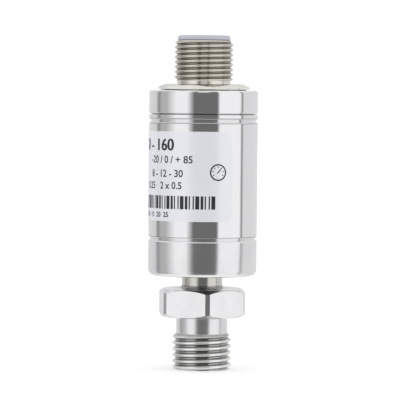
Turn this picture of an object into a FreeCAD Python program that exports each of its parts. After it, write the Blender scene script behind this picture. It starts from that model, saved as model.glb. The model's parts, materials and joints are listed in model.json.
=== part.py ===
import FreeCAD, Part
import math
import os

# Compact pressure transmitter with a threaded pressure stud at the bottom and a
# four-pin round plug connector at the top. Millimetres, +Z up along the axis of
# the round body, origin at the centre of the stud's end face. The front, where
# the label starts, faces -Y. Angles about the axis are counted from the front.
# Both outside threads are drawn as plain cylinders at their major diameter.

V = FreeCAD.Vector

# --- Driving dimensions ---------------------------------------------------------

# Pressure stud, M12 x 1.25, and the relief behind its thread
stud_d = 12.0
stud_len = 7.4
stud_chamfer = 0.6
relief_d = 10.45
relief_len = 3.3

# Hexagon above the stud, turned down at its corners
port_hex_af = 16.65
port_hex_turned_d = 18.7
port_hex_h = 5.8
port_hex_top_land_d = 16.0
port_hex_low_land_d = 16.0
port_hex_turn = 7.0
port_hex_chamfer_angle = 30.0

# Slim neck between the hexagon and the round body
neck_d = 8.25
neck_len = 2.65
neck_flare = 0.8
neck_top_chamfer = 0.35

# Round body
body_d = 22.15
base_fillet = 1.25
base_floor = 2.15
base_spigot_len = 3.1
sleeve_wall = 1.0
sleeve_len = 23.97
groove_w = 1.0
groove_depth = 0.45

# Vent ring between the sleeve and the cap
vent_ring_h = 1.42
vent_slit_w = 0.18
vent_slit_depth = 0.5
vent_ring_wall = 2.5
vent_ring_upper_wall = 1.65
vent_ring_spigot_down = 3.0
vent_ring_spigot_up = 1.0
vent_groove_h = 0.6
vent_groove_depth = 0.75
vent_hole_d = 0.5
vent_hole_count = 2

# Cap
cap_top_t = 1.47
cap_fillet = 0.45
cap_rim_bevel = 0.25

# Pressure inlet
inlet_d = 4.2
inlet_depth = 13.0
inlet_chamfer = 0.4
passage_d = 2.0
chamber_d = 6.4
chamber_depth = 0.3

# Ceramic measuring cell and what clamps it
cell_d = 13.5
cell_h = 5.0
cell_bore_d = 6.4
cell_diaphragm_t = 0.6
cell_notch_d = 1.6
cell_notch_count = 3
cell_seal_d = 9.2
cell_seal_w = 1.6
cell_seal_depth = 1.1
washer_t = 0.5
washer_hole_d = 10.5
lock_ring_d = 15.1
lock_ring_h = 2.2
lock_ring_hole_d = 10.2
lock_ring_lip = 0.8
lock_slot_w = 1.5
lock_slot_depth = 1.0
lock_slot_count = 4

# Round seals on the spigots and in the connector
ring_seal_h = 1.3
ring_seal_depth = 1.0
insert_seal_depth = 0.7
flange_seal_d = 15.0
flange_seal_w = 1.1
flange_seal_depth = 0.7

# Board carrier and main board
carrier_ring_h = 2.0
carrier_ring_t = 2.4
carrier_rail_w = 4.0
carrier_rail_t = 2.4
carrier_rail_gap = 1.3
carrier_slot_depth = 1.2
board_t = 1.0
board_top_gap = 0.7
connector_board_drop = 0.975

# Leads from the cell and the header between the boards
lead_count = 4
lead_pitch = 1.27
lead_w = 0.4
lead_strip_w = 0.8
lead_overlap = 2.4
lead_strip_h = 0.9
header_count = 4
header_pitch = 2.0
header_pin_w = 0.5
header_overlap = 3.0
header_strip_h = 1.4
header_strip_w = 0.85
solder_out = 0.4

# Electronic components: width, height and thickness off the board
chip_w = 5.0
chip_h = 5.0
chip_t = 0.9
regulator_w = 3.0
regulator_h = 3.0
regulator_t = 1.1
suppressor_w = 4.2
suppressor_h = 2.6
suppressor_t = 2.0
capacitor_w = 2.0
capacitor_h = 1.25
capacitor_t = 1.2
capacitor_count = 4
resistor_w = 1.6
resistor_h = 0.8
resistor_t = 0.5
resistor_count = 4
component_pitch = 2.4

# Their places on the board: across it, and up from its middle
regulator_across = -4.0
suppressor_across = 3.0
upper_row_up = 3.5
resistor_row_up = -3.0

# Connector shell, M12 x 1, with a hexagonal flange
flange_af = 17.0
flange_turned_d = 19.2
flange_h = 1.3
flange_top_land_d = 15.8
flange_low_land_d = 17.1
flange_chamfer_angle = 22.0
flange_turn = 11.0
connector_neck_d = 10.85
connector_neck_len = 0.88
connector_thread_d = 11.85
connector_thread_len = 7.95
connector_thread_chamfer = 0.5
shell_wall = 0.55
shell_seat_drop = 0.85
shell_shoulder = 0.55
shell_stem_d = 12.8
shell_stem_past_nut = 0.25
nut_d = 17.0
nut_h = 2.0
nut_clear = 0.275
nut_slot_w = 1.6
nut_slot_depth = 1.0
nut_slot_count = 4

# Plastic connector insert and its contact pins
insert_rim_lip = 0.455
insert_rim_h = 1.08
insert_rim_fillet = 0.45
insert_floor = 2.7
insert_stem_len = 2.8
socket_wall = 0.5
key_w = 0.9
key_depth = 0.6
key_turn = 180.0
pin_d = 1.0
pin_circle_d = 5.0
pin_count = 4
pin_tip_drop = 0.8
pin_tip_chamfer = 0.25
pin_tail_d = 0.7

# Label foil round the sleeve
label_wrap = 198.0
label_h = 18.1
label_t = 0.08
label_right_turn = 31.7
label_corner_r = 2.0
label_low_gap = 3.76

# Straight steps that a small rounding is turned in
bend_steps = 3

# Clearances
slip = 0.05
touch = 0.02
hole_clear = 0.1
past = 1.0

# --- Heights and radii that follow from them ------------------------------------

z_stud_top = stud_len
z_hex_low = z_stud_top + relief_len
z_hex_top = z_hex_low + port_hex_h
z_base_low = z_hex_top + neck_len
z_cell_low = z_base_low + base_floor
z_cell_top = z_cell_low + cell_h
z_washer_top = z_cell_top + washer_t
z_lock_top = z_washer_top + lock_ring_h
z_base_spigot_top = z_lock_top + lock_ring_lip
z_low_joint = z_base_spigot_top - base_spigot_len
z_high_joint = z_low_joint + sleeve_len
z_vent_joint = z_high_joint + vent_ring_h
z_vent_spigot_low = z_high_joint - vent_ring_spigot_down
z_vent_spigot_top = z_vent_joint + vent_ring_spigot_up
z_nut_low = z_vent_spigot_top + nut_clear
z_nut_top = z_nut_low + nut_h
z_cap_top = z_nut_top + cap_top_t
z_flange_top = z_cap_top + flange_h
z_connector_thread = z_flange_top + connector_neck_len
z_shell_top = z_connector_thread + connector_thread_len
z_insert_top = z_shell_top + insert_rim_h
z_insert_seat = z_flange_top - shell_seat_drop
z_socket_floor = z_insert_seat + insert_floor
z_carrier_seat = z_base_spigot_top + carrier_ring_h
z_board_top = z_vent_spigot_low - board_top_gap
z_ledge = z_vent_joint - connector_board_drop
z_ledge_board_top = z_ledge + board_t
z_label_low = z_low_joint + label_low_gap

body_r = body_d / 2
bore_r = body_r - sleeve_wall
spigot_r = bore_r - slip
cell_pocket_r = cell_d / 2 + slip
lock_bore_r = lock_ring_d / 2 + slip
carrier_r = bore_r - slip
board_half_w = carrier_r - carrier_rail_t + carrier_slot_depth - slip
vent_ring_bore_r = spigot_r - vent_ring_wall
ledge_pocket_r = spigot_r - vent_ring_upper_wall
connector_board_r = ledge_pocket_r - slip
stem_hole_r = shell_stem_d / 2 + slip
shell_bore_r = connector_neck_d / 2 - shell_wall
shell_throat_r = shell_bore_r - shell_shoulder
insert_r = shell_bore_r - slip
insert_stem_r = shell_throat_r - slip
insert_rim_r = shell_bore_r + insert_rim_lip
socket_r = insert_r - socket_wall


# --- Helpers --------------------------------------------------------------------

def turned(points):
    """Solid turned about Z from (radius, height) corners."""
    corners = [V(r, 0, z) for r, z in points]
    face = Part.Face(Part.makePolygon(corners + corners[:1]))
    return face.revolve(V(0, 0, 0), V(0, 0, 1), 360)


def disc(r, z_low, z_top):
    return Part.makeCylinder(r, z_top - z_low, V(0, 0, z_low))


def ring(r_in, r_out, z_low, z_top):
    return disc(r_out, z_low, z_top).cut(disc(r_in, z_low - past, z_top + past))


def block(x_low, x_high, y_low, y_high, z_low, z_high):
    corner = V(x_low, y_low, z_low)
    return Part.makeBox(x_high - x_low, y_high - y_low, z_high - z_low, corner)


def turn(shape, angle):
    """A copy of the shape turned about the axis by an angle in degrees."""
    return shape.rotated(V(0, 0, 0), V(0, 0, 1), angle)


def around(shape, count, first=0.0):
    """Evenly spaced turned copies of the shape."""
    return [turn(shape, first + 360.0 * i / count) for i in range(count)]


def bend(r, z, size, start, turned_by, steps):
    """Corners along a round stretch of a profile, about the centre (r, z)."""
    points = []
    for i in range(steps + 1):
        a = math.radians(start + turned_by * i / steps)
        points.append((r + size * math.cos(a), z + size * math.sin(a)))
    return points


def hexagon(across_flats, z_low, z_top, angle):
    """Hexagonal prism with one corner at this angle from the front."""
    corner_r = across_flats / math.sqrt(3)
    corners = []
    for i in range(6):
        a = math.radians(-90 + angle + 60 * i)
        corners.append(V(corner_r * math.cos(a), corner_r * math.sin(a), z_low))
    face = Part.Face(Part.makePolygon(corners + corners[:1]))
    return face.extrude(V(0, 0, z_top - z_low))


def turned_hexagon(across_flats, r, r_low, r_top, z_low, z_top, angle, chamfer_angle):
    """Hexagon whose corners are turned to radius r and chamfered to the two lands."""
    slope = math.tan(math.radians(chamfer_angle))
    blank = turned([
        (0, z_low), (r_low, z_low), (r, z_low + (r - r_low) * slope),
        (r, z_top - (r - r_top) * slope), (r_top, z_top), (0, z_top)])
    return hexagon(across_flats, z_low, z_top, angle).common(blank)


# --- Pressure side --------------------------------------------------------------

def fitting_blank():
    """Stud, relief, hexagon, neck and base cup before any boring."""
    r = stud_d / 2
    relief_r = relief_d / 2
    neck_r = neck_d / 2
    stud = turned([
        (0, 0), (r - stud_chamfer, 0), (r, stud_chamfer), (r, z_stud_top - (r - relief_r)),
        (relief_r, z_stud_top), (relief_r, z_hex_low), (0, z_hex_low)])
    hexagonal = turned_hexagon(
        port_hex_af, port_hex_turned_d / 2, port_hex_low_land_d / 2,
        port_hex_top_land_d / 2, z_hex_low, z_hex_top, port_hex_turn, port_hex_chamfer_angle)
    body = turned([
        (0, z_hex_top),
        *bend(neck_r + neck_flare, z_hex_top + neck_flare, neck_flare, 270, -90, bend_steps),
        (neck_r, z_base_low - neck_top_chamfer), (neck_r + neck_top_chamfer, z_base_low),
        *bend(body_r - base_fillet, z_base_low + base_fillet, base_fillet, -90, 90, bend_steps),
        (body_r, z_low_joint - groove_w / 2), (body_r - groove_depth, z_low_joint),
        (spigot_r, z_low_joint), (spigot_r, z_base_spigot_top), (0, z_base_spigot_top)])
    return stud.fuse([hexagonal, body]).removeSplitter()


def cell_pocket():
    """Stepped room for the cell, its washer and the lock ring, with the chamber below."""
    step = z_cell_top - slip
    return turned([
        (0, z_cell_low - chamber_depth), (chamber_d / 2, z_cell_low - chamber_depth),
        (chamber_d / 2, z_cell_low), (cell_pocket_r, z_cell_low), (cell_pocket_r, step),
        (lock_bore_r, step), (lock_bore_r, z_base_spigot_top + past),
        (0, z_base_spigot_top + past)])


def inlet_bore():
    """Inlet from the stud's end with a chamfered mouth and a narrow passage above."""
    r = inlet_d / 2
    passage_r = passage_d / 2
    return turned([
        (0, -past), (r + inlet_chamfer + past, -past), (r, inlet_chamfer), (r, inlet_depth),
        (passage_r, inlet_depth + r - passage_r), (passage_r, z_cell_low), (0, z_cell_low)])


def cell_seal_room(gap):
    """Radii and floor of the face seal's groove, less a gap at its sides."""
    mid = cell_seal_d / 2
    half = cell_seal_w / 2 - gap
    return mid - half, mid + half, z_cell_low - cell_seal_depth


def base_seal_heights():
    """Lower and upper height of the seal groove on the base spigot."""
    mid = (z_low_joint + z_base_spigot_top) / 2
    return mid - ring_seal_h / 2, mid + ring_seal_h / 2


def process_fitting():
    low, top = base_seal_heights()
    r_in, r_out, floor = cell_seal_room(0)
    tools = [
        cell_pocket(), inlet_bore(), ring(r_in, r_out, floor, z_cell_low + touch),
        ring(spigot_r - ring_seal_depth, body_r, low, top)]
    return fitting_blank().cut(tools)


def cell_seal():
    r_in, r_out, floor = cell_seal_room(slip)
    return ring(r_in, r_out, floor, z_cell_low)


def sensor_cell():
    """Ceramic disc with a blind bore under its diaphragm and locating notches."""
    body = disc(cell_d / 2, z_cell_low, z_cell_top)
    blind = disc(cell_bore_d / 2, z_cell_low - past, z_cell_top - cell_diaphragm_t)
    notch = Part.makeCylinder(
        cell_notch_d / 2, cell_h + 2 * past, V(0, -cell_d / 2, z_cell_low - past))
    return body.cut([blind] + around(notch, cell_notch_count))


def thrust_washer():
    return ring(washer_hole_d / 2, lock_ring_d / 2, z_cell_top, z_washer_top)


def lock_ring():
    """Clamp ring with spanner slots across its top."""
    body = ring(lock_ring_hole_d / 2, lock_ring_d / 2, z_washer_top, z_lock_top)
    slot = block(
        -lock_slot_w / 2, lock_slot_w / 2, 0, lock_ring_d,
        z_lock_top - lock_slot_depth, z_lock_top + past)
    return body.cut(around(slot, lock_slot_count, 45.0))


# --- Round body -----------------------------------------------------------------

def housing_sleeve():
    """Tube whose ends are bevelled to half of each V-groove."""
    half = groove_w / 2
    groove_r = body_r - groove_depth
    return turned([
        (bore_r, z_low_joint), (groove_r, z_low_joint), (body_r, z_low_joint + half),
        (body_r, z_high_joint - half), (groove_r, z_high_joint), (bore_r, z_high_joint)])


def base_spigot_seal():
    low, top = base_seal_heights()
    return ring(spigot_r - ring_seal_depth, bore_r - touch, low + slip, top - slip)


def vent_seal_heights():
    """Lower and upper height of the seal groove on the vent ring's lower spigot."""
    mid = (z_vent_spigot_low + z_high_joint) / 2
    return mid - ring_seal_h / 2, mid + ring_seal_h / 2


def vent_filter_heights():
    """Lower and upper height of the filter groove behind the vent slit."""
    low = z_vent_joint + (vent_ring_spigot_up - vent_groove_h) / 2
    return low, low + vent_groove_h


def vent_ring():
    """Ring with a spigot each way, a board ledge inside and radial vent holes."""
    groove_r = body_r - groove_depth
    slit_r = body_r - vent_slit_depth
    slit_low = z_vent_joint - vent_slit_w
    body = turned([
        (vent_ring_bore_r, z_vent_spigot_low), (spigot_r, z_vent_spigot_low),
        (spigot_r, z_high_joint), (groove_r, z_high_joint),
        (body_r, z_high_joint + groove_w / 2), (body_r, slit_low), (slit_r, slit_low),
        (slit_r, z_vent_joint), (spigot_r, z_vent_joint), (spigot_r, z_vent_spigot_top),
        (ledge_pocket_r, z_vent_spigot_top), (ledge_pocket_r, z_ledge),
        (vent_ring_bore_r, z_ledge)])
    low, top = vent_seal_heights()
    seal_groove = ring(spigot_r - ring_seal_depth, body_r, low, top)
    low, top = vent_filter_heights()
    filter_groove = ring(spigot_r - vent_groove_depth, body_r, low, top)
    hole = Part.makeCylinder(vent_hole_d / 2, body_r, V(0, 0, (low + top) / 2), V(0, 1, 0))
    return body.cut([seal_groove, filter_groove] + around(hole, vent_hole_count))


def vent_seal():
    low, top = vent_seal_heights()
    return ring(spigot_r - ring_seal_depth, bore_r - touch, low + slip, top - slip)


def vent_filter():
    """Porous ring that closes the vent path and lets air through."""
    low, top = vent_filter_heights()
    return ring(spigot_r - vent_groove_depth, spigot_r - touch, low, top)


def housing_cap():
    """Cap with a bevelled rim, a rounded top edge and a hole for the connector's stem."""
    return turned([
        (bore_r, z_vent_joint), (body_r - cap_rim_bevel, z_vent_joint),
        (body_r, z_vent_joint + cap_rim_bevel),
        *bend(body_r - cap_fillet, z_cap_top - cap_fillet, cap_fillet, 0, 90, bend_steps),
        (stem_hole_r, z_cap_top), (stem_hole_r, z_nut_top), (bore_r, z_nut_top)])


def label_corner(side, up):
    """What rounds off one corner: a quarter block less the corner's own circle."""
    size = label_corner_r + past
    y = sorted((0, side * size))
    z = sorted((0, up * size))
    quarter = block(body_r - past, body_r + past, y[0], y[1], z[0], z[1])
    round_part = Part.makeCylinder(
        label_corner_r, 4 * past, V(body_r - 2 * past, 0, 0), V(1, 0, 0))
    return quarter.cut(round_part)


def label():
    """Foil wrapped round the sleeve, with rounded corners."""
    inset = math.degrees(label_corner_r / body_r)
    z_top = z_label_low + label_h
    foil = Part.makeCylinder(
        body_r + label_t, label_h, V(0, 0, z_label_low), V(0, 0, 1), label_wrap)
    foil = foil.cut(disc(body_r, z_label_low - past, z_top + past))
    cutters = []
    for side, angle in ((-1, inset), (1, label_wrap - inset)):
        for up, z in ((-1, z_label_low + label_corner_r), (1, z_top - label_corner_r)):
            cutter = label_corner(side, up)
            cutter.translate(V(0, 0, z))
            cutters.append(turn(cutter, angle))
    return turn(foil.cut(cutters), -90 + label_right_turn - label_wrap)


# --- Electronics ----------------------------------------------------------------

def board_carrier():
    """Seat ring with two upright rails, each slotted for an edge of the main board."""
    seat = ring(carrier_r - carrier_ring_t, carrier_r, z_base_spigot_top, z_carrier_seat)
    tube = ring(
        carrier_r - carrier_rail_t, carrier_r, z_carrier_seat, z_board_top - carrier_rail_gap)
    half = carrier_rail_w / 2
    band = block(
        -carrier_r, carrier_r, -half, half, z_carrier_seat, z_board_top - carrier_rail_gap)
    slot_half = board_t / 2 + slip
    slot = block(
        -board_half_w - slip, board_half_w + slip, -slot_half, slot_half, z_carrier_seat,
        z_board_top)
    return seat.fuse(tube.common(band)).removeSplitter().cut(slot)


def main_board():
    """Upright board held in the carrier's slots."""
    return block(
        -board_half_w, board_half_w, -board_t / 2, board_t / 2, z_carrier_seat, z_board_top)


def on_board(side, x, z_from_middle, w, h, t):
    """Component body on the front (-1) or back (+1) face of the main board."""
    middle = (z_carrier_seat + z_board_top) / 2 + z_from_middle
    faces = sorted((side * board_t / 2, side * (board_t / 2 + t)))
    return block(x - w / 2, x + w / 2, faces[0], faces[1], middle - h / 2, middle + h / 2)


def row_of(name, count, side, z_from_middle, w, h, t):
    """A row of like components, one node each."""
    first = -component_pitch * (count - 1) / 2
    nodes = {}
    for i in range(count):
        x = first + component_pitch * i
        nodes[name + "_" + str(i + 1)] = on_board(side, x, z_from_middle, w, h, t)
    return nodes


def comb(count, pitch, w, strip_w, y_face, z_low, z_high, strip_low, strip_high):
    """Row of square pins against the board's back face, held in a strip."""
    half = pitch * (count - 1) / 2 + w
    body = block(-half, half, y_face, y_face + strip_w, strip_low, strip_high)
    pins = []
    for i in range(count):
        x = pitch * (i - (count - 1) / 2)
        pins.append(block(x - w / 2, x + w / 2, y_face, y_face + w, z_low, z_high))
    return body.fuse(pins).removeSplitter()


def cell_leads():
    """Leads from the top of the cell to the foot of the main board."""
    return comb(
        lead_count, lead_pitch, lead_w, lead_strip_w, board_t / 2, z_cell_top,
        z_carrier_seat + lead_overlap, z_carrier_seat - lead_strip_h, z_carrier_seat)


def header_pins():
    """Header from the top of the main board through the connector board."""
    return comb(
        header_count, header_pitch, header_pin_w, header_strip_w, board_t / 2,
        z_board_top - header_overlap, z_ledge_board_top + solder_out,
        z_ledge - header_strip_h, z_ledge)


def connector_board():
    """Round board on the vent ring's ledge, holed for the header and the contacts."""
    body = disc(connector_board_r, z_ledge, z_ledge_board_top)
    tools = []
    half = header_pin_w / 2 + hole_clear
    y_mid = board_t / 2 + header_pin_w / 2
    for i in range(header_count):
        x = header_pitch * (i - (header_count - 1) / 2)
        tools.append(block(
            x - half, x + half, y_mid - half, y_mid + half, z_ledge - past,
            z_ledge_board_top + past))
    hole = Part.makeCylinder(
        pin_tail_d / 2 + hole_clear, board_t + 2 * past, V(pin_circle_d / 2, 0, z_ledge - past))
    return body.cut(tools + around(hole, pin_count, 45.0))


# --- Connector ------------------------------------------------------------------

def connector_shell():
    """Threaded shell with a hexagonal flange and a stem through the cap."""
    stem_low = z_nut_low - shell_stem_past_nut
    thread_r = connector_thread_d / 2
    neck_r = connector_neck_d / 2
    top = z_shell_top
    turned_part = turned([
        (0, stem_low), (shell_stem_d / 2, stem_low), (shell_stem_d / 2, z_cap_top),
        (neck_r, z_cap_top), (neck_r, z_connector_thread - (thread_r - neck_r) / 2),
        (thread_r, z_connector_thread), (thread_r, top - connector_thread_chamfer),
        (thread_r - connector_thread_chamfer, top), (0, top)])
    flange = turned_hexagon(
        flange_af, flange_turned_d / 2, flange_low_land_d / 2, flange_top_land_d / 2,
        z_cap_top, z_flange_top, flange_turn, flange_chamfer_angle)
    r_in, r_out = flange_seal_radii(0)
    tools = [
        disc(shell_bore_r, z_insert_seat, top + past),
        disc(shell_throat_r, stem_low - past, top),
        ring(r_in, r_out, z_cap_top - touch, z_cap_top + flange_seal_depth)]
    return turned_part.fuse(flange).removeSplitter().cut(tools)


def flange_seal_radii(gap):
    """Radii of the face seal's groove under the flange, less a gap at its sides."""
    mid = flange_seal_d / 2
    half = flange_seal_w / 2 - gap
    return mid - half, mid + half


def flange_seal():
    r_in, r_out = flange_seal_radii(slip)
    return ring(r_in, r_out, z_cap_top, z_cap_top + flange_seal_depth)


def connector_nut():
    """Slotted nut that clamps the shell to the cap from inside."""
    body = ring(stem_hole_r, nut_d / 2, z_nut_low, z_nut_top)
    slot = block(
        -nut_slot_w / 2, nut_slot_w / 2, nut_d / 2 - nut_slot_depth, nut_d,
        z_nut_low - past, z_nut_top + past)
    return body.cut(around(slot, nut_slot_count))


def insert_seal_heights():
    """Lower and upper height of the seal groove round the insert's floor."""
    mid = (z_insert_seat + z_socket_floor) / 2
    return mid - ring_seal_h / 2, mid + ring_seal_h / 2


def contact_places():
    """Angles of the contact pins, counted from +X."""
    return [45.0 + 360.0 * i / pin_count for i in range(pin_count)]


def connector_insert():
    """Plastic body with a keyed socket, a rim on the shell's end and holes for the pins."""
    fillet = insert_rim_fillet
    stem_low = z_insert_seat - insert_stem_len
    body = turned([
        (0, stem_low), (insert_stem_r, stem_low), (insert_stem_r, z_insert_seat),
        (insert_r, z_insert_seat), (insert_r, z_shell_top), (insert_rim_r, z_shell_top),
        *bend(insert_rim_r - fillet, z_insert_top - fillet, fillet, 0, 90, bend_steps),
        (0, z_insert_top)])
    low, top = insert_seal_heights()
    socket = disc(socket_r, z_socket_floor, z_insert_top + past)
    key = block(
        -key_w / 2, key_w / 2, -insert_r, -socket_r + key_depth, z_socket_floor - past,
        z_insert_top + 2 * past)
    socket = socket.cut(turn(key, key_turn))
    pin_hole = Part.makeCylinder(
        pin_d / 2 + touch, z_insert_top, V(pin_circle_d / 2, 0, stem_low - past))
    holes = [turn(pin_hole, angle) for angle in contact_places()]
    groove = ring(insert_r - insert_seal_depth, body_r, low, top)
    return body.cut([socket, groove] + holes)


def insert_seal():
    low, top = insert_seal_heights()
    return ring(insert_r - insert_seal_depth, shell_bore_r - touch, low + slip, top - slip)


def contact_pin(angle):
    """Contact with a pointed tip, a full-size shank and a thinner soldered tail."""
    r = pin_d / 2
    tail_r = pin_tail_d / 2
    z_tip = z_insert_top - pin_tip_drop
    pin = turned([
        (0, z_ledge - solder_out), (tail_r, z_ledge - solder_out),
        (tail_r, z_insert_seat - insert_stem_len), (r, z_insert_seat - insert_stem_len),
        (r, z_tip - pin_tip_chamfer), (r - pin_tip_chamfer, z_tip), (0, z_tip)])
    pin.translate(V(pin_circle_d / 2, 0, 0))
    return turn(pin, angle)


# --- Nodes ----------------------------------------------------------------------

def all_nodes():
    nodes = {
        "process_fitting": process_fitting(),
        "cell_seal": cell_seal(),
        "sensor_cell": sensor_cell(),
        "thrust_washer": thrust_washer(),
        "lock_ring": lock_ring(),
        "housing_sleeve": housing_sleeve(),
        "base_spigot_seal": base_spigot_seal(),
        "vent_ring": vent_ring(),
        "vent_seal": vent_seal(),
        "vent_filter": vent_filter(),
        "housing_cap": housing_cap(),
        "label": label(),
        "board_carrier": board_carrier(),
        "main_board": main_board(),
        "cell_leads": cell_leads(),
        "header_pins": header_pins(),
        "connector_board": connector_board(),
        "connector_shell": connector_shell(),
        "flange_seal": flange_seal(),
        "connector_nut": connector_nut(),
        "connector_insert": connector_insert(),
        "insert_seal": insert_seal(),
    }
    nodes["conditioner_chip"] = on_board(1, 0, 0, chip_w, chip_h, chip_t)
    nodes["regulator_chip"] = on_board(
        -1, regulator_across, upper_row_up, regulator_w, regulator_h, regulator_t)
    nodes["surge_suppressor"] = on_board(
        -1, suppressor_across, upper_row_up, suppressor_w, suppressor_h, suppressor_t)
    nodes.update(row_of(
        "capacitor", capacitor_count, -1, 0, capacitor_w, capacitor_h, capacitor_t))
    nodes.update(row_of(
        "resistor", resistor_count, -1, resistor_row_up, resistor_w, resistor_h, resistor_t))
    for i, angle in enumerate(contact_places()):
        nodes["contact_pin_" + str(i + 1)] = contact_pin(angle)
    return nodes


def main():
    os.makedirs("parts", exist_ok=True)
    for name, shape in all_nodes().items():
        shape.exportStep(os.path.join("parts", name + ".step"))
        print(name, len(shape.Solids), shape.isValid(), round(shape.Volume, 3))


main()
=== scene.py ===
import json
import math

import bpy
from bpy.props import FloatProperty, FloatVectorProperty, IntProperty, PointerProperty
from bpy.types import Operator, Panel, PropertyGroup
from mathutils import Matrix, Vector


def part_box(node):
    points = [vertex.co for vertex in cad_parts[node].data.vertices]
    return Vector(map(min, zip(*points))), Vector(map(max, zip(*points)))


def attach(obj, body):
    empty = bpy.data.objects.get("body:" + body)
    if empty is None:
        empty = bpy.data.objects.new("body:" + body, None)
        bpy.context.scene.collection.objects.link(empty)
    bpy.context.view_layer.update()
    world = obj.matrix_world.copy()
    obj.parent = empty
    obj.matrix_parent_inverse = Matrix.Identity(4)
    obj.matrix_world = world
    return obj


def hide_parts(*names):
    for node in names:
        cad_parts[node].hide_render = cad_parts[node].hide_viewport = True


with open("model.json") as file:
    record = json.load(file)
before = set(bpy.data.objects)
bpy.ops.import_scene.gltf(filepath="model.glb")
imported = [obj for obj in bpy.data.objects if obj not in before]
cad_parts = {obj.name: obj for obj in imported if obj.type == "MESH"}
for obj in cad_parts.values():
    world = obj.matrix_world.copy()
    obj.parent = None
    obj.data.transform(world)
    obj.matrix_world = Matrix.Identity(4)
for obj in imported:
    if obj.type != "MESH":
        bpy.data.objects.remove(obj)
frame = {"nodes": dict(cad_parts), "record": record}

# Looks of a compact pressure transmitter: cut threads, polished and turned steel,
# a nickelled plug connector, the printed label and the finish of what is inside.

bl_info = {
    "name": "Pressure transmitter looks",
    "version": (1, 0, 0),
    "blender": (4, 5, 0),
    "location": "View3D > Sidebar > Transmitter",
    "description": "Builds the visible pieces and finishes of a pressure transmitter",
    "category": "Object",
}

MM = 0.001
PRINT_LINES = (
    # text, base line above the label's foot, letter height, end from the right edge,
    # and how far the outline is widened, all in millimetres
    ("0 - 160", 14.3, 2.35, 12.3, 0.03),
    ("-20 / 0 / + 85", 11.75, 1.45, 8.2, 0.03),
    ("8 - 12 - 30", 8.95, 1.45, 10.3, 0.03),
    ("0.25   2 x 0.5", 6.55, 1.4, 10.5, 0.03),
    ("0  5  10  15  20  25", 0.85, 1.0, 13.65, 0.03),
)
BOLD_STRIKES = 3
BOLD_STEP = 0.08 * MM
BOLD_FROM_HEIGHT = 2.0
CAP_SHARE = 0.7  # height of a capital letter as a share of the text size

# Widths of bars and gaps in turn, a short pattern repeated
BAR_PATTERN = (3, 1, 1, 2, 1, 1, 2, 1)
BAR_WIDTHS = BAR_PATTERN * 5 + BAR_PATTERN[:5]
BARS_FROM_EDGE = 3.65 * MM
BARS_FOOT = 2.5 * MM
BARS_HEIGHT = 2.65 * MM

MARK_SIZE = 3.4 * MM
MARK_PLACE = (-3.1 * MM, 9.95 * MM)
LABEL_RIGHT_EDGE = 31.7  # degrees round from the front

THREAD_TURNS = 9
FLANK_DEGREES = 30
CREST_ANGLES = (60, 45, 30, 15)

FLANGE_ACROSS_FLATS = 17 * MM
FLANGE_TURN = 11
FLANGE_HEIGHT = 1.3 * MM
FLANGE_LAND_R = 8.6 * MM
FLANGE_FALL_DEGREES = 30
FLANGE_REACH = 10.4 * MM  # past the corners of the hexagon
FOOT_HEIGHT = 0.24 * MM
FOOT_R = 8.75 * MM
COLLAR_CORE_R = 8.1 * MM

# Zones of a finish: lower and upper height, softness, and then two radii if it has them
NECK_ZONE = (17.2 * MM, 18.95 * MM, 0.1 * MM)
NECK_FLARE_ZONE = (16.4 * MM, 17.3 * MM, 0.12 * MM, 4.3 * MM, 5.6 * MM)
RELIEF_ZONE = (7.5 * MM, 10.6 * MM, 0.1 * MM)
STUD_THREAD_SPAN = (-1 * MM, 7.35 * MM, 0.05 * MM)
PLUG_THREAD_SPAN = (59.1 * MM, 66.8 * MM, 0.05 * MM)
JOINT_GROOVE_HALF = 0.5 * MM

CAMERA_LENS = 273.5
CAMERA_PLACE = (-0.57 * MM, -620 * MM, 56 * MM)
CAMERA_AIM = (-0.57 * MM, 0, 34.5 * MM)
CAMERA_ROLL = 0.5
LIGHT_CARDS = (("plug_card", -7.5 * MM, 9.2 * MM), ("side_card", 13 * MM, 21.5 * MM))
CARD_LOW, CARD_HIGH, CARD_DISTANCE = 58.2 * MM, 71 * MM, 36 * MM
CARD_STRENGTH = 0.8


# --- Sizes and colours -----------------------------------------------------------

class ThreadSizes(PropertyGroup):
    """Pitch and form of the two outside threads."""
    stud_pitch: FloatProperty(
        name="Stud pitch", description="Rise of the pressure thread per turn",
        default=1.25 * MM, unit="LENGTH", precision=5)
    stud_crest: FloatProperty(
        name="Stud crest height", description="Height of a crest on the stud's +X side",
        default=0.98 * MM, unit="LENGTH", precision=5)
    plug_pitch: FloatProperty(
        name="Plug pitch", description="Rise of the connector thread per turn",
        default=1.0 * MM, unit="LENGTH", precision=5)
    plug_crest: FloatProperty(
        name="Plug crest height", description="Height of a crest on the connector's +X side",
        default=59.85 * MM, unit="LENGTH", precision=5)
    stud_depth: FloatProperty(
        name="Stud thread depth", description="Depth of the pressure thread",
        default=0.64 * MM, unit="LENGTH", precision=5)
    plug_depth: FloatProperty(
        name="Plug thread depth", description="Depth of the connector thread",
        default=0.41 * MM, unit="LENGTH", precision=5)
    stud_round: FloatProperty(
        name="Stud crest radius", description="Radius of the pressure thread's crest",
        default=0.25 * MM, unit="LENGTH", precision=5)
    plug_round: FloatProperty(
        name="Plug crest radius", description="Radius of the connector thread's crest",
        default=0.3 * MM, unit="LENGTH", precision=5)
    steps: IntProperty(
        name="Steps per turn", description="Straight steps in one turn of a thread",
        default=60, min=24, max=144)


class LabelSizes(PropertyGroup):
    """Printing on the label foil."""
    print_height: FloatProperty(
        name="Print height", description="How far the ink stands on the foil",
        default=0.012 * MM, unit="LENGTH", precision=5)
    bar_unit: FloatProperty(
        name="Bar unit", description="Width of the narrowest bar",
        default=0.27 * MM, unit="LENGTH", precision=5)


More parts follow.
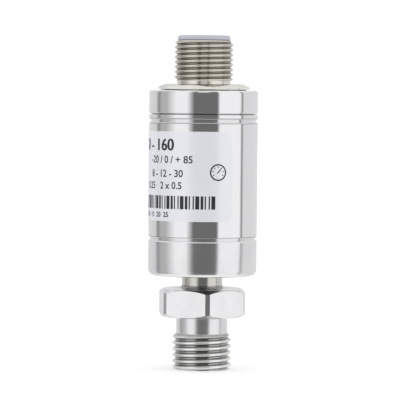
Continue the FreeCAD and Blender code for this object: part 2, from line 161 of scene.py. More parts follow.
class FinishColours(PropertyGroup):
    """Base colours of the finishes."""
    body_steel: FloatVectorProperty(
        name="Body steel", description="Polished stainless steel of the round body",
        subtype="COLOR", default=(0.95, 0.95, 0.955), min=0, max=1)
    port_steel: FloatVectorProperty(
        name="Port steel", description="Turned stainless steel of the pressure fitting",
        subtype="COLOR", default=(0.955, 0.955, 0.96), min=0, max=1)
    nickel: FloatVectorProperty(
        name="Nickelled brass", description="Warm nickel plating of the connector",
        subtype="COLOR", default=(0.90, 0.875, 0.82), min=0, max=1)
    insert: FloatVectorProperty(
        name="Insert plastic", description="Violet grey plastic of the connector insert",
        subtype="COLOR", default=(0.60, 0.61, 0.69), min=0, max=1)
    foil: FloatVectorProperty(
        name="Label foil", description="Silvery white polyester foil",
        subtype="COLOR", default=(0.93, 0.94, 1.0), min=0, max=1)
    ink: FloatVectorProperty(
        name="Ink", description="Thermal transfer ink of the printing",
        subtype="COLOR", default=(0.03, 0.03, 0.035), min=0, max=1)


# --- Modelling helpers -----------------------------------------------------------

def deselect():
    if bpy.context.object and bpy.context.object.mode != "OBJECT":
        bpy.ops.object.mode_set(mode="OBJECT")
    bpy.ops.object.select_all(action="DESELECT")


def pick(piece):
    """Make the piece the only selected and active object."""
    deselect()
    piece.select_set(True)
    bpy.context.view_layer.objects.active = piece


def edit(piece):
    pick(piece)
    bpy.ops.object.mode_set(mode="EDIT")
    bpy.ops.mesh.select_all(action="DESELECT")


def done_editing():
    bpy.ops.object.mode_set(mode="OBJECT")


def settle(piece):
    """Move the object's own place and turn into its mesh."""
    pick(piece)
    bpy.ops.object.transform_apply(location=True, rotation=True, scale=True)


def merge(piece, distance=0.5e-6):
    edit(piece)
    bpy.ops.mesh.select_all(action="SELECT")
    bpy.ops.mesh.remove_doubles(threshold=distance)
    done_editing()


def smooth(piece, degrees=28):
    pick(piece)
    bpy.ops.object.shade_smooth_by_angle(angle=math.radians(degrees))


def copy_of(node, name):
    """A merged copy of a CAD node to shape further."""
    source = frame["nodes"][node]
    mesh = source.data.copy()
    mesh.transform(source.matrix_world)
    piece = bpy.data.objects.new(name, mesh)
    bpy.context.scene.collection.objects.link(piece)
    pick(piece)
    bpy.ops.mesh.customdata_custom_splitnormals_clear()
    merge(piece)
    return piece


def apply_modifier(piece, name):
    pick(piece)
    bpy.ops.object.modifier_apply(modifier=name)


def remove(piece):
    mesh = piece.data
    bpy.data.objects.remove(piece, do_unlink=True)
    bpy.data.meshes.remove(mesh)


def cut(piece, tool):
    """Take the tool's solid out of the piece."""
    boolean = piece.modifiers.new("Cut", "BOOLEAN")
    boolean.operation = "DIFFERENCE"
    boolean.solver = "EXACT"
    boolean.object = tool
    apply_modifier(piece, boolean.name)
    remove(tool)
    if len(piece.data.polygons) < 8:
        raise RuntimeError(piece.name + " was lost in a cut")


def unite(piece, other):
    """Join another solid to the piece."""
    boolean = piece.modifiers.new("Unite", "BOOLEAN")
    boolean.operation = "UNION"
    boolean.solver = "EXACT"
    boolean.object = other
    apply_modifier(piece, boolean.name)
    remove(other)


def turned_bar(name, r_low, r_high, z_low, z_high, sides=96, turn=0):
    """Round, tapered or many-sided bar along the axis, as a solid to join or to cut with."""
    deselect()
    bpy.ops.mesh.primitive_cone_add(
        vertices=sides, radius1=r_low, radius2=r_high, depth=z_high - z_low,
        location=(0, 0, (z_low + z_high) / 2), rotation=(0, 0, turn))
    bar = bpy.context.object
    bar.name = name
    settle(bar)
    return bar


def turned_ring(name, r_out, z_low, z_high, core):
    """Bar with a core taken out, as a solid to cut with."""
    ring = turned_bar(name, r_out, r_out, z_low, z_high)
    cut(ring, core)
    return ring


def select_edges(piece, test):
    """Select the edges whose two ends both pass the test on their place."""
    done_editing()
    mesh = piece.data
    for edge in mesh.edges:
        ends = [mesh.vertices[i].co for i in edge.vertices]
        edge.select = all(test(co) for co in ends)
    for vertex in mesh.vertices:
        vertex.select = test(vertex.co)
    bpy.ops.object.mode_set(mode="EDIT")


def mount_radius(name):
    """Radius of one of the part's round mounts."""
    for mount in frame["record"]["mounts"]:
        if mount["name"] == name:
            return mount["dims"]["r_mm"] * MM
    raise KeyError(name)


def groove_outline(pitch, depth, crest_r):
    """Depths and half widths of the groove, from its root out to the rounded crest."""
    points = [
        (crest_r * (1 - math.cos(math.radians(a))),
         pitch / 2 - crest_r * math.sin(math.radians(a))) for a in CREST_ANGLES]
    flank = depth - points[0][0]
    root = (depth, points[0][1] - flank * math.tan(math.radians(FLANK_DEGREES)))
    return [root] + points


def thread_groove(name, major_r, pitch, depth, crest_r, groove_z, turns, steps):
    """Solid swept by the thread's groove, right-handed, from groove_z on the +X side."""
    outline = groove_outline(pitch, depth, crest_r)
    root, flank_top = outline[0], outline[1]
    middle = major_r - (root[0] + flank_top[0]) / 2
    spare = 0.3 * MM
    deselect()
    bpy.ops.mesh.primitive_plane_add(
        size=1, location=(middle, 0, groove_z), rotation=(math.pi / 2, 0, 0))
    groove = bpy.context.object
    groove.name = name
    groove.scale = (root[0] - flank_top[0], 2 * flank_top[1], 1)
    settle(groove)
    edit(groove)
    bpy.ops.mesh.select_mode(type="EDGE")
    select_edges(groove, lambda co: co.x < middle)
    bpy.ops.transform.resize(
        value=(1, 1, root[1] / flank_top[1]), center_override=(major_r, 0, groove_z))
    select_edges(groove, lambda co: co.x > middle)
    for before, after in zip(outline[1:], outline[2:]):
        bpy.ops.mesh.extrude_region_move(
            TRANSFORM_OT_translate={"value": (before[0] - after[0], 0, 0)})
        bpy.ops.transform.resize(
            value=(1, 1, after[1] / before[1]), center_override=(major_r, 0, groove_z))
    bpy.ops.mesh.extrude_region_move(
        TRANSFORM_OT_translate={"value": (outline[-1][0] + spare, 0, 0)})
    for level, _ in outline[1:]:
        select_edges(groove, lambda co: abs(co.x - major_r + level) < 1e-7)
        bpy.ops.mesh.dissolve_edges(use_verts=False)
    done_editing()
    screw = groove.modifiers.new("Turns", "SCREW")
    screw.axis = "Z"
    screw.angle = 2 * math.pi
    screw.screw_offset = pitch
    screw.iterations = turns
    screw.steps = steps
    screw.render_steps = steps
    apply_modifier(groove, screw.name)
    edit(groove)
    bpy.ops.mesh.select_all(action="SELECT")
    bpy.ops.mesh.remove_doubles(threshold=0.5e-6)
    bpy.ops.mesh.fill_holes(sides=0)
    bpy.ops.mesh.normals_make_consistent(inside=False)
    done_editing()
    return groove


# --- Material helpers ------------------------------------------------------------

class Finish:
    """A material with one Principled shader and patterns on Object coordinates."""

    def __init__(self, name):
        self.material = bpy.data.materials.new(name)
        self.material.use_nodes = True
        self.nodes = self.material.node_tree.nodes
        self.links = self.material.node_tree.links
        self.nodes.clear()
        output = self.nodes.new("ShaderNodeOutputMaterial")
        self.shader = self.nodes.new("ShaderNodeBsdfPrincipled")
        self.links.new(self.shader.outputs["BSDF"], output.inputs["Surface"])
        self.coordinates = self.nodes.new("ShaderNodeTexCoord")

    def set(self, socket, value):
        self.shader.inputs[socket].default_value = value

    def to_shader(self, output, socket):
        self.links.new(output, self.shader.inputs[socket])

    def place(self, scale):
        """Object coordinates stretched by a scale in each direction."""
        mapping = self.nodes.new("ShaderNodeMapping")
        mapping.inputs["Scale"].default_value = scale
        self.links.new(self.coordinates.outputs["Object"], mapping.inputs["Vector"])
        return mapping.outputs["Vector"]

    def radius_and_height(self, scale_r, scale_z):
        """Coordinates that only change with the distance from the axis and the height."""
        parts = self.nodes.new("ShaderNodeSeparateXYZ")
        self.links.new(self.coordinates.outputs["Object"], parts.inputs[0])
        flat = self.nodes.new("ShaderNodeCombineXYZ")
        self.links.new(parts.outputs["X"], flat.inputs["X"])
        self.links.new(parts.outputs["Y"], flat.inputs["Y"])
        length = self.nodes.new("ShaderNodeVectorMath")
        length.operation = "LENGTH"
        self.links.new(flat.outputs[0], length.inputs[0])
        joined = self.nodes.new("ShaderNodeCombineXYZ")
        for value, scale, socket in (
                (length.outputs["Value"], scale_r, "X"), (parts.outputs["Z"], scale_z, "Z")):
            scaled = self.nodes.new("ShaderNodeMath")
            scaled.operation = "MULTIPLY"
            scaled.inputs[1].default_value = scale
            self.links.new(value, scaled.inputs[0])
            self.links.new(scaled.outputs[0], joined.inputs[socket])
        return joined.outputs[0]

    def noise(self, vector, scale, detail=3.0, roughness=0.5):
        texture = self.nodes.new("ShaderNodeTexNoise")
        texture.inputs["Scale"].default_value = scale
        texture.inputs["Detail"].default_value = detail
        texture.inputs["Roughness"].default_value = roughness
        self.links.new(vector, texture.inputs["Vector"])
        return texture.outputs["Fac"]

    def cells(self, vector, scale):
        texture = self.nodes.new("ShaderNodeTexVoronoi")
        texture.inputs["Scale"].default_value = scale
        self.links.new(vector, texture.inputs["Vector"])
        return texture.outputs["Distance"]

    def spread(self, value, low, high, from_low=0.3, from_high=0.7):
        """Map a pattern's middle stretch to low and high."""
        span = self.nodes.new("ShaderNodeMapRange")
        span.inputs["From Min"].default_value = from_low
        span.inputs["From Max"].default_value = from_high
        span.inputs["To Min"].default_value = low
        span.inputs["To Max"].default_value = high
        self.links.new(value, span.inputs["Value"])
        return span.outputs["Result"]

    def blend(self, value, first, second):
        """A colour between first and second; each is a colour or an output."""
        mix = self.nodes.new("ShaderNodeMix")
        mix.data_type = "RGBA"
        self.links.new(value, mix.inputs["Factor"])
        for colour, socket in ((first, mix.inputs[6]), (second, mix.inputs[7])):
            if isinstance(colour, bpy.types.NodeSocket):
                self.links.new(colour, socket)
            else:
                socket.default_value = (*colour, 1)
        return mix.outputs[2]

    def axis_distance(self):
        """Distance from the part's axis."""
        flat = self.nodes.new("ShaderNodeVectorMath")
        flat.operation = "MULTIPLY"
        flat.inputs[1].default_value = (1, 1, 0)
        self.links.new(self.coordinates.outputs["Object"], flat.inputs[0])
        length = self.nodes.new("ShaderNodeVectorMath")
        length.operation = "LENGTH"
        self.links.new(flat.outputs[0], length.inputs[0])
        return length.outputs["Value"]

    def height(self):
        """Height above the end of the pressure stud."""
        parts = self.nodes.new("ShaderNodeSeparateXYZ")
        self.links.new(self.coordinates.outputs["Object"], parts.inputs[0])
        return parts.outputs["Z"]

    def product(self, first, second):
        times = self.nodes.new("ShaderNodeMath")
        times.operation = "MULTIPLY"
        self.links.new(first, times.inputs[0])
        self.links.new(second, times.inputs[1])
        return times.outputs[0]

    def zone(self, z_low, z_high, soft, r_full=None, r_none=None):
        """Mask that is 1 between two heights and, if radii are given, towards r_full."""
        rise = self.spread(self.height(), 0, 1, z_low - soft, z_low + soft)
        fall = self.spread(self.height(), 1, 0, z_high - soft, z_high + soft)
        mask = self.product(rise, fall)
        if r_full is None:
            return mask
        return self.product(mask, self.spread(self.axis_distance(), 1, 0, r_full, r_none))

    def bump(self, value, strength, distance):
        node = self.nodes.new("ShaderNodeBump")
        node.inputs["Strength"].default_value = strength
        node.inputs["Distance"].default_value = distance
        self.links.new(value, node.inputs["Height"])
        self.to_shader(node.outputs["Normal"], "Normal")


def shade_of(colour, factor):
    return tuple(min(1.0, part * factor) for part in colour)


def paint_shade_zones(finish, tone, colour, painted_shade):
    """Lay painted shade over a tone; each entry is a zone of the finish and the shade factor
    painted inside it.
    """
    for zone, shade in painted_shade:
        shaded_colour = tuple(min(1.0, part * factor) for part, factor in zip(colour, shade))
        tone = finish.blend(finish.zone(*zone), tone, shaded_colour)
    return tone


def metal(name, colour, roughness, mark_scale, mark_depth, stain=0.93, painted_shade=(), coarse=()):
    """Metal with marks that run round the axis, faint handling stains, and painted shade and
    painted dark reflections in zones.
    """
    finish = Finish(name)
    finish.set("Metallic", 1.0)
    marks = finish.noise(finish.radius_and_height(1, 1), mark_scale, 4.0, 0.6)
    clouds = finish.noise(finish.place((1, 1, 0.6)), 260, 4.0, 0.55)
    tone = finish.blend(finish.spread(clouds, 0, 1), shade_of(colour, stain), colour)
    # Painted shade and painted dark reflections: the colour is darkened in the given zones.
    finish.to_shader(paint_shade_zones(finish, tone, colour, painted_shade), "Base Color")
    fine = finish.spread(marks, roughness * 0.7, roughness * 1.3)
    for zone, rough in coarse:
        share = finish.nodes.new("ShaderNodeMix")
        share.inputs["B"].default_value = rough
        finish.links.new(finish.zone(*zone), share.inputs["Factor"])
        finish.links.new(fine, share.inputs["A"])
        fine = share.outputs["Result"]
    finish.to_shader(fine, "Roughness")
    finish.bump(marks, 0.3, mark_depth)
    return finish.material


def plastic(name, colour, roughness, grain_scale, grain_depth, dark=0.88, painted_shade=()):
    """Moulded plastic or rubber with a fine grain, slightly uneven colour and painted shade in
    zones.
    """
    finish = Finish(name)
    grain = finish.noise(finish.place((1, 1, 1)), grain_scale, 5.0, 0.6)
    clouds = finish.noise(finish.place((1, 1, 1)), grain_scale / 12, 3.0)
    tone = finish.blend(finish.spread(clouds, 0, 1), shade_of(colour, dark), colour)
    # Painted shade: the colour is darkened in the given zones.
    finish.to_shader(paint_shade_zones(finish, tone, colour, painted_shade), "Base Color")
    finish.to_shader(finish.spread(grain, roughness * 0.85, roughness * 1.15), "Roughness")
    finish.bump(grain, 0.4, grain_depth)
    return finish.material


def speckled(name, colour, fleck, scale, roughness):
    """Sintered or woven matter with small flecks of a second colour."""
    finish = Finish(name)
    cells = finish.cells(finish.place((1, 1, 1)), scale)
    flecks = finish.spread(cells, 0, 1, 0.1, 0.6)
    finish.to_shader(finish.blend(flecks, colour, fleck), "Base Color")
    finish.to_shader(finish.spread(cells, roughness * 0.9, roughness * 1.1), "Roughness")
    finish.bump(cells, 0.3, 0.01 * MM)
    return finish.material


def finish_node(name, material):
    slots = frame["nodes"][name].material_slots
    for slot in slots:
        slot.material = material


def give(piece, material):
    piece.data.materials.clear()
    piece.data.materials.append(material)


# --- Pieces ----------------------------------------------------------------------

class CutPressureThread(Operator):
    """Cut the thread of the pressure stud and finish the fitting"""
    bl_idname = "transmitter.cut_pressure_thread"
    bl_label = "Pressure fitting"

    def execute(self, context):
        sizes = context.scene.transmitter_threads
        colours = context.scene.transmitter_colours
        fitting = copy_of("process_fitting", "threaded_fitting")
        major_r = mount_radius("process_thread")
        cut(fitting, thread_groove(
            "stud_groove", major_r, sizes.stud_pitch, sizes.stud_depth, sizes.stud_round,
            sizes.stud_crest - 2.5 * sizes.stud_pitch, THREAD_TURNS, sizes.steps))
        smooth(fitting)
        root_r = major_r - sizes.stud_depth
        painted_shade = (
            # Painted shade: the stud's thread grooves darker towards the root, for the shade and
            # dark reflections in the grooves.
            ((*STUD_THREAD_SPAN, root_r + 0.25 * MM, major_r - 0.03 * MM), (0.50, 0.50, 0.48)),
            # Painted reflection: the neck's flare darkened where it mirrors the dark
            # surroundings.
            (NECK_FLARE_ZONE, (0.42, 0.42, 0.40)),
            # Painted reflection: the neck darkened and tinted olive, a painted dark card
            # reflection.
            (NECK_ZONE, (0.78, 0.77, 0.69)),
        )
        coarse = ((NECK_ZONE, 0.2), (RELIEF_ZONE, 0.24))
        give(fitting, metal(
            "turned_port_steel", colours.port_steel, 0.16, 5200, 0.01 * MM, painted_shade=painted_shade,
            coarse=coarse))
        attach(fitting, "root")
        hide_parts("process_fitting")
        return {"FINISHED"}


def face_flange(shell):
    """Turn the flange's upper side to a low cone and its foot to a narrow recess."""
    cap_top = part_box("housing_cap")[1].z
    flange_top = cap_top + FLANGE_HEIGHT
    foot = cap_top + FOOT_HEIGHT
    fall = math.tan(math.radians(FLANGE_FALL_DEGREES))
    corner_r = FLANGE_ACROSS_FLATS / math.sqrt(3)
    collar = turned_bar(
        "collar", corner_r, corner_r, foot - 0.07 * MM, foot + 0.55 * MM, 6,
        math.radians(FLANGE_TURN))
    cut(collar, turned_bar("collar_core", COLLAR_CORE_R, COLLAR_CORE_R, cap_top, flange_top))
    unite(shell, collar)
    low, high = foot + 0.05 * MM, flange_top + 0.2 * MM
    cone = turned_bar(
        "cone_core", FLANGE_LAND_R + (flange_top - low) / fall,
        FLANGE_LAND_R + (flange_top - high) / fall, low, high)
    cut(shell, turned_ring(
        "cone_cutter", FLANGE_REACH, low + 0.05 * MM, high - 0.05 * MM, cone))
    core = turned_bar("recess_core", FOOT_R, FOOT_R, cap_top - 1 * MM, flange_top)
    cut(shell, turned_ring("recess_cutter", FLANGE_REACH, cap_top - 0.2 * MM, foot, core))


class CutConnectorThread(Operator):
    """Cut the thread of the connector shell and finish it"""
    bl_idname = "transmitter.cut_connector_thread"
    bl_label = "Connector shell"

    def execute(self, context):
        sizes = context.scene.transmitter_threads
        colours = context.scene.transmitter_colours
        shell = copy_of("connector_shell", "threaded_shell")
        major_r = mount_radius("connector_thread")
        cut(shell, thread_groove(
            "plug_groove", major_r, sizes.plug_pitch, sizes.plug_depth, sizes.plug_round,
            sizes.plug_crest - 1.25 * sizes.plug_pitch, THREAD_TURNS, sizes.steps))
        face_flange(shell)
        merge(shell)
        smooth(shell)
        cap_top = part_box("housing_cap")[1].z
        painted_shade = (
            # Painted shade: the whole connector thread darker, crests included.
            (PLUG_THREAD_SPAN, (0.76, 0.75, 0.72)),
            # Painted shade: the connector's thread grooves darker towards the root.
            ((*PLUG_THREAD_SPAN, major_r - 0.32 * MM, major_r - 0.1 * MM), (0.36, 0.33, 0.29)),
            # Painted shadow: a dark band under the flange where it meets the top of the cap.
            ((cap_top - 1 * MM, cap_top + 0.22 * MM, 0.03 * MM), (0.25, 0.25, 0.25)),
        )
        give(shell, metal("nickel_plating", colours.nickel, 0.17, 4200, 0.01 * MM, painted_shade=painted_shade))
        finish_node("connector_nut", metal(
            "nut_nickel_plating", colours.nickel, 0.26, 3600, 0.01 * MM))
        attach(shell, "root")
        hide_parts("connector_shell")
        return {"FINISHED"}


class FinishBody(Operator):
    """Finish the sleeve, the vent ring and the cap in polished steel"""
    bl_idname = "transmitter.finish_body"
    bl_label = "Round body"

    def execute(self, context):
        colours = context.scene.transmitter_colours
        sleeve_low, sleeve_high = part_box("housing_sleeve")
        cap_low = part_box("housing_cap")[0].z
        body_r = -sleeve_low.y
        line = 0.07 * MM
        # Painted shade: the recessed faces of the slit at the foot of the cap darkened, deeper
        # inside more.
        painted_shade = [(
            (cap_low - 0.2 * MM, cap_low + 0.02 * MM, 0.01 * MM, body_r - 0.3 * MM,
             body_r - 0.05 * MM), (0.3, 0.3, 0.3))]
        # Painted shade: thin dark lines along both edges of each joint groove.
        for joint in (sleeve_low.z, sleeve_high.z):
            for edge in (joint - JOINT_GROOVE_HALF, joint + JOINT_GROOVE_HALF):
                painted_shade.append(((edge - line, edge + line, 0.04 * MM), (0.42, 0.42, 0.42)))
        steel = metal(
            "polished_body_steel", colours.body_steel, 0.08, 5600, 0.004 * MM, 0.97, painted_shade)
        for name in ("housing_sleeve", "vent_ring", "housing_cap"):
            finish_node(name, steel)
        return {"FINISHED"}


def wrap(piece, right_turn, z_low, radius):
    """Wrap a flat piece round the body: x runs along the arc, y is the height, z is outwards."""
    mesh = piece.data
    for vertex in mesh.vertices:
        x, y, z = vertex.co
        angle = right_turn + x / radius
        r = radius + z
        vertex.co = Vector((r * math.sin(angle), -r * math.cos(angle), z_low + y))
    mesh.update()


def text_piece(text, height, thickness, weight):
    """Text as a closed thin mesh, ending at x = 0 on the base line y = 0."""
    deselect()
    bpy.ops.object.text_add()
    letters = bpy.context.object
    letters.data.body = text
    letters.data.align_x = "RIGHT"
    letters.data.size = height / CAP_SHARE
    letters.data.offset = weight * MM
    letters.data.extrude = thickness / 2
    letters.data.resolution_u = 4
    pick(letters)
    bpy.ops.object.convert(target="MESH")
    piece = bpy.context.object
    merge(piece, 1e-7)
    return piece


def bar_piece(x_low, x_high, height, thickness):
    deselect()
    bpy.ops.mesh.primitive_cube_add(
        size=1, location=((x_low + x_high) / 2, height / 2, 0))
    bar = bpy.context.object
    bar.scale = (x_high - x_low, height, thickness)
    settle(bar)
    return bar


def gauge_mark(size, thickness):
    """Ring with a scale and a needle, centred."""
    deselect()
    bpy.ops.mesh.primitive_circle_add(vertices=48, radius=size / 2)
    ring = bpy.context.object
    edit(ring)
    bpy.ops.mesh.select_all(action="SELECT")
    bpy.ops.mesh.extrude_region_move()
    bpy.ops.transform.resize(value=(0.84, 0.84, 1), center_override=(0, 0, 0))
    done_editing()
    pieces = [ring]
    for degrees in range(-30, 211, 40):
        a = math.radians(degrees)
        deselect()
        bpy.ops.mesh.primitive_plane_add(
            size=1, location=(0.33 * size * math.cos(a), 0.33 * size * math.sin(a), 0))
        tick = bpy.context.object
        tick.scale = (0.1 * size, 0.045 * size, 1)
        tick.rotation_euler = (0, 0, a)
        settle(tick)
        pieces.append(tick)
    a = math.radians(50)
    deselect()
    bpy.ops.mesh.primitive_plane_add(
        size=1, location=(0.1 * size * math.cos(a), 0.1 * size * math.sin(a), 0))
    needle = bpy.context.object
    needle.scale = (0.36 * size, 0.06 * size, 1)
    needle.rotation_euler = (0, 0, a)
    settle(needle)
    pieces.append(needle)
    mark = join(pieces)
    solid = mark.modifiers.new("Ink", "SOLIDIFY")
    solid.thickness = thickness
    solid.offset = 0
    apply_modifier(mark, solid.name)
    return mark


def join(pieces):
    deselect()
    for piece in pieces:
        piece.select_set(True)
    bpy.context.view_layer.objects.active = pieces[0]
    if len(pieces) > 1:
        bpy.ops.object.join()
    return pieces[0]


def shift(piece, x, y):
    piece.location = (x, y, 0)
    settle(piece)


class PrintLabel(Operator):
    """Print the label and finish its foil"""
    bl_idname = "transmitter.print_label"
    bl_label = "Label and print"

    def execute(self, context):
        sizes = context.scene.transmitter_label
        colours = context.scene.transmitter_colours
        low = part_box("label")[0]
        radius = -low.y
        ink = sizes.print_height
        parts = []
        for text, base, height, end, weight in PRINT_LINES:
            for strike in range(BOLD_STRIKES if height > BOLD_FROM_HEIGHT else 1):
                letters = text_piece(text, height * MM, ink, weight)
                shift(letters, -end * MM - BOLD_STEP * strike, base * MM)
                parts.append(letters)
        x = -BARS_FROM_EDGE
        for i, width in enumerate(BAR_WIDTHS):
            step = width * sizes.bar_unit
            if i % 2 == 0:
                bar = bar_piece(x - step, x, BARS_HEIGHT, ink)
                shift(bar, 0, BARS_FOOT)
                parts.append(bar)
            x -= step
        mark = gauge_mark(MARK_SIZE, ink)
        shift(mark, *MARK_PLACE)
        parts.append(mark)
        printing = join(parts)
        printing.name = "label_print"
        wrap(printing, math.radians(LABEL_RIGHT_EDGE), low.z, radius + ink / 2)
        edit(printing)
        bpy.ops.mesh.select_all(action="SELECT")
        bpy.ops.mesh.normals_make_consistent(inside=False)
        done_editing()
        give(printing, plastic("printing_ink", colours.ink, 0.5, 9000, 0.002 * MM))
        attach(printing, "root")
        foil = Finish("silver_white_foil")
        foil.set("Metallic", 0.12)
        fibres = foil.noise(foil.place((1, 1, 1)), 1600, 4.0, 0.6)
        clouds = foil.noise(foil.place((1, 1, 1)), 120, 2.0)
        foil.to_shader(foil.blend(
            foil.spread(clouds, 0, 1), shade_of(colours.foil, 0.98), colours.foil), "Base Color")
        foil.to_shader(foil.spread(fibres, 0.2, 0.26), "Roughness")
        foil.bump(fibres, 0.1, 0.002 * MM)
        finish_node("label", foil.material)
        return {"FINISHED"}


class FinishInsert(Operator):
    """Finish the plastic insert and the contacts"""
    bl_idname = "transmitter.finish_insert"
    bl_label = "Connector insert"

    def execute(self, context):
        colours = context.scene.transmitter_colours
        shell_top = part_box("connector_shell")[1].z
        # Painted shade: a dark band on the insert where it meets the top of the connector shell.
        painted_gap_shade = (((shell_top - 1 * MM, shell_top + 0.2 * MM, 0.08 * MM), (0.25, 0.25, 0.25)),)
        finish_node("connector_insert", plastic(
            "insert_plastic_moulded", colours.insert, 0.42, 5200, 0.006 * MM, 0.95, painted_gap_shade))
        gold = metal("gold_plating", (0.86, 0.63, 0.28), 0.18, 5000, 0.004 * MM, 0.9)
        for i in range(4):
            finish_node("contact_pin_" + str(i + 1), gold)
        return {"FINISHED"}


class FinishInside(Operator):
    """Finish the pieces inside the housing"""
    bl_idname = "transmitter.finish_inside"
    bl_label = "Inner pieces"

    def execute(self, context):
        rubber = plastic("seal_rubber_moulded", (0.035, 0.035, 0.038), 0.6, 4200, 0.01 * MM)
        for name in ("cell_seal", "base_spigot_seal", "vent_seal", "flange_seal", "insert_seal"):
            finish_node(name, rubber)
        finish_node("sensor_cell", speckled(
            "alumina_ceramic", (0.86, 0.84, 0.79), (0.78, 0.75, 0.69), 2600, 0.42))
        finish_node("thrust_washer", plastic(
            "washer_plastic_cut", (0.62, 0.55, 0.38), 0.45, 3000, 0.006 * MM))
        finish_node("lock_ring", metal(
            "turned_lock_steel", (0.72, 0.72, 0.72), 0.28, 4200, 0.01 * MM, 0.88))
        finish_node("vent_filter", speckled(
            "sintered_filter", (0.88, 0.88, 0.86), (0.74, 0.74, 0.72), 5200, 0.8))
        finish_node("board_carrier", plastic(
            "carrier_plastic_moulded", (0.12, 0.12, 0.13), 0.5, 3800, 0.01 * MM))
        laminate = speckled("green_laminate", (0.03, 0.20, 0.09), (0.05, 0.27, 0.13), 1400, 0.35)
        for name in ("main_board", "connector_board"):
            finish_node(name, laminate)
        tinned = metal("tinned_copper", (0.78, 0.78, 0.76), 0.3, 3600, 0.006 * MM, 0.9)
        for name in ("cell_leads", "header_pins"):
            finish_node(name, tinned)
        chip = plastic("chip_epoxy", (0.03, 0.03, 0.03), 0.5, 6000, 0.004 * MM)
        for name in ("conditioner_chip", "regulator_chip", "surge_suppressor"):
            finish_node(name, chip)
        ceramic = speckled(
            "capacitor_body", (0.42, 0.29, 0.18), (0.34, 0.23, 0.14), 5200, 0.5)
        film = plastic("resistor_body", (0.05, 0.06, 0.08), 0.4, 5200, 0.004 * MM)
        for i in range(4):
            finish_node("capacitor_" + str(i + 1), ceramic)
            finish_node("resistor_" + str(i + 1), film)
        return {"FINISHED"}


# --- Stage -----------------------------------------------------------------------

STUDIO_TONES = (
    # degrees round from the camera, grey of the card that stands there
    (-180, 0.75), (-120, 0.65), (-110, 0.25), (-100, 0.45), (-85, 0.45), (-60, 0.90),
    (-35, 0.90), (-20, 0.15), (30, 0.15), (35, 0.90), (85, 0.90), (90, 0.20), (95, 0.70),
    (180, 0.75),
)


def studio_world(scene):
    """White to the camera, an even level for soft light, light and dark cards for gloss."""
    world = bpy.data.worlds.new("studio")
    scene.world = world
    world.use_nodes = True
    nodes = world.node_tree.nodes
    links = world.node_tree.links
    nodes.clear()
    place = nodes.new("ShaderNodeTexCoord")
    parts = nodes.new("ShaderNodeSeparateXYZ")
    links.new(place.outputs["Generated"], parts.inputs[0])
    back = nodes.new("ShaderNodeMath")
    back.operation = "MULTIPLY"
    back.inputs[1].default_value = -1
    links.new(parts.outputs["Y"], back.inputs[0])
    angle = nodes.new("ShaderNodeMath")
    angle.operation = "ARCTAN2"
    links.new(parts.outputs["X"], angle.inputs[0])
    links.new(back.outputs[0], angle.inputs[1])
    turn = nodes.new("ShaderNodeMapRange")
    turn.inputs["From Min"].default_value = -math.pi
    turn.inputs["From Max"].default_value = math.pi
    links.new(angle.outputs[0], turn.inputs["Value"])
    cards = nodes.new("ShaderNodeValToRGB")
    stops = cards.color_ramp.elements
    while len(stops) > 1:
        stops.remove(stops[-1])
    for i, (degrees, tone) in enumerate(STUDIO_TONES):
        position = (degrees + 180) / 360
        stop = stops[0] if i == 0 else stops.new(position)
        stop.position = position
        stop.color = (tone, tone, tone * 1.01, 1)
    links.new(turn.outputs["Result"], cards.inputs["Fac"])
    height = nodes.new("ShaderNodeMath")
    height.operation = "ABSOLUTE"
    links.new(parts.outputs["Z"], height.inputs[0])
    rise = nodes.new("ShaderNodeMapRange")
    rise.interpolation_type = "SMOOTHSTEP"
    rise.inputs["From Min"].default_value = 0.45
    rise.inputs["From Max"].default_value = 0.75
    rise.inputs["To Max"].default_value = 0.86
    links.new(height.outputs[0], rise.inputs["Value"])
    overhead = nodes.new("ShaderNodeMix")
    overhead.data_type = "RGBA"
    overhead.inputs[7].default_value = (0.95, 0.95, 0.95, 1)
    links.new(rise.outputs["Result"], overhead.inputs["Factor"])
    links.new(cards.outputs["Color"], overhead.inputs[6])
    rays = nodes.new("ShaderNodeLightPath")
    for_gloss = nodes.new("ShaderNodeMix")
    for_gloss.data_type = "RGBA"
    for_gloss.inputs[6].default_value = (0.9, 0.9, 0.9, 1)
    links.new(rays.outputs["Is Glossy Ray"], for_gloss.inputs["Factor"])
    links.new(overhead.outputs[2], for_gloss.inputs[7])
    for_camera = nodes.new("ShaderNodeMix")
    for_camera.data_type = "RGBA"
    for_camera.inputs[7].default_value = (1, 1, 1, 1)
    links.new(rays.outputs["Is Camera Ray"], for_camera.inputs["Factor"])
    links.new(for_gloss.outputs[2], for_camera.inputs[6])
    background = nodes.new("ShaderNodeBackground")
    links.new(for_camera.outputs[2], background.inputs["Color"])
    output = nodes.new("ShaderNodeOutputWorld")
    links.new(background.outputs[0], output.inputs["Surface"])


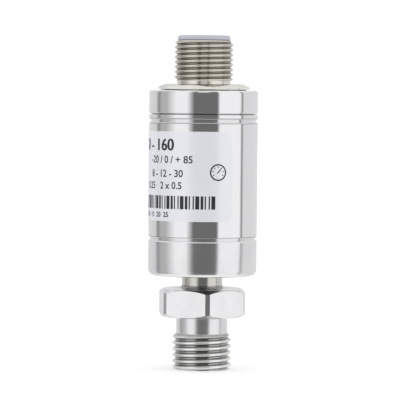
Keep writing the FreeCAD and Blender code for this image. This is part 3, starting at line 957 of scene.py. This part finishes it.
def pale_floor():
    """Level floor, white to the camera, that keeps the object's shadow."""
    deselect()
    bpy.ops.mesh.primitive_plane_add(size=6, location=(0, 0, -0.02 * MM))
    floor = bpy.context.object
    floor.name = "floor"
    settle(floor)
    material = bpy.data.materials.new("pale_floor")
    material.use_nodes = True
    nodes = material.node_tree.nodes
    links = material.node_tree.links
    shader = nodes["Principled BSDF"]
    shader.inputs["Base Color"].default_value = (0.9, 0.9, 0.9, 1)
    shader.inputs["Roughness"].default_value = 0.9
    shader.inputs["Specular IOR Level"].default_value = 0
    glow = nodes.new("ShaderNodeEmission")
    glow.inputs["Strength"].default_value = 0.3
    total = nodes.new("ShaderNodeAddShader")
    links.new(shader.outputs[0], total.inputs[0])
    links.new(glow.outputs[0], total.inputs[1])
    rays = nodes.new("ShaderNodeLightPath")
    for_camera = nodes.new("ShaderNodeMixShader")
    links.new(rays.outputs["Is Camera Ray"], for_camera.inputs[0])
    links.new(shader.outputs[0], for_camera.inputs[1])
    links.new(total.outputs[0], for_camera.inputs[2])
    unseen = nodes.new("ShaderNodeBsdfTransparent")
    for_gloss = nodes.new("ShaderNodeMixShader")
    links.new(rays.outputs["Is Glossy Ray"], for_gloss.inputs[0])
    links.new(for_camera.outputs[0], for_gloss.inputs[1])
    links.new(unseen.outputs[0], for_gloss.inputs[2])
    links.new(for_gloss.outputs[0], nodes["Material Output"].inputs["Surface"])
    give(floor, material)


def light_card(name, left, right, z_low, z_high, distance, strength):
    """Glowing card before the part that only its polish mirrors."""
    deselect()
    bpy.ops.mesh.primitive_plane_add(
        size=1, location=((left + right) / 2, -distance, (z_low + z_high) / 2),
        rotation=(math.pi / 2, 0, 0))
    card = bpy.context.object
    card.name = name
    card.scale = (right - left, z_high - z_low, 1)
    settle(card)
    material = bpy.data.materials.new(name)
    material.use_nodes = True
    nodes = material.node_tree.nodes
    glow = nodes.new("ShaderNodeEmission")
    glow.inputs["Strength"].default_value = strength
    material.node_tree.links.new(glow.outputs[0], nodes["Material Output"].inputs["Surface"])
    give(card, material)
    card.visible_camera = False
    card.visible_diffuse = False
    card.visible_transmission = False
    card.visible_shadow = False


class SetStage(Operator):
    """Set the floor, the studio light and the camera"""
    bl_idname = "transmitter.set_stage"
    bl_label = "Stage"

    def execute(self, context):
        scene = context.scene
        scene.view_settings.view_transform = "Standard"
        studio_world(scene)
        pale_floor()
        for name, left, right in LIGHT_CARDS:
            light_card(name, left, right, CARD_LOW, CARD_HIGH, CARD_DISTANCE, CARD_STRENGTH)
        camera = bpy.data.cameras.new("camera")
        camera.lens = CAMERA_LENS
        camera.sensor_width = 36
        camera.clip_end = 10
        eye = bpy.data.objects.new("camera", camera)
        scene.collection.objects.link(eye)
        place = Vector(CAMERA_PLACE)
        aim = Vector(CAMERA_AIM)
        look = (aim - place).to_track_quat("-Z", "Y").to_matrix().to_4x4()
        roll = Matrix.Rotation(math.radians(CAMERA_ROLL), 4, "Z")
        eye.matrix_world = Matrix.Translation(place) @ look @ roll
        scene.camera = eye
        return {"FINISHED"}


# --- Panel and registration ------------------------------------------------------

PIECES = (
    CutPressureThread, CutConnectorThread, FinishBody, PrintLabel, FinishInsert, FinishInside,
    SetStage,
)


class TransmitterPanel(Panel):
    """Lists the operators that build the transmitter's looks"""
    bl_idname = "VIEW3D_PT_transmitter"
    bl_label = "Pressure transmitter"
    bl_space_type = "VIEW_3D"
    bl_region_type = "UI"
    bl_category = "Transmitter"

    def draw(self, context):
        for piece in PIECES:
            self.layout.operator(piece.bl_idname)
        for group in ("transmitter_threads", "transmitter_label", "transmitter_colours"):
            settings = getattr(context.scene, group)
            column = self.layout.column(align=True)
            for name in settings.__annotations__:
                column.prop(settings, name)


GROUPS = (ThreadSizes, LabelSizes, FinishColours)


def register():
    for item in GROUPS + PIECES + (TransmitterPanel,):
        bpy.utils.register_class(item)
    scene = bpy.types.Scene
    scene.transmitter_threads = PointerProperty(type=ThreadSizes)
    scene.transmitter_label = PointerProperty(type=LabelSizes)
    scene.transmitter_colours = PointerProperty(type=FinishColours)


def unregister():
    scene = bpy.types.Scene
    del scene.transmitter_threads
    del scene.transmitter_label
    del scene.transmitter_colours
    for item in reversed(GROUPS + PIECES + (TransmitterPanel,)):
        bpy.utils.unregister_class(item)


def main():
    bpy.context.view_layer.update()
    register()
    for piece in PIECES:
        area, name = piece.bl_idname.split(".")
        getattr(getattr(bpy.ops, area), name)()
    deselect()


if __name__ == "__main__":
    main()
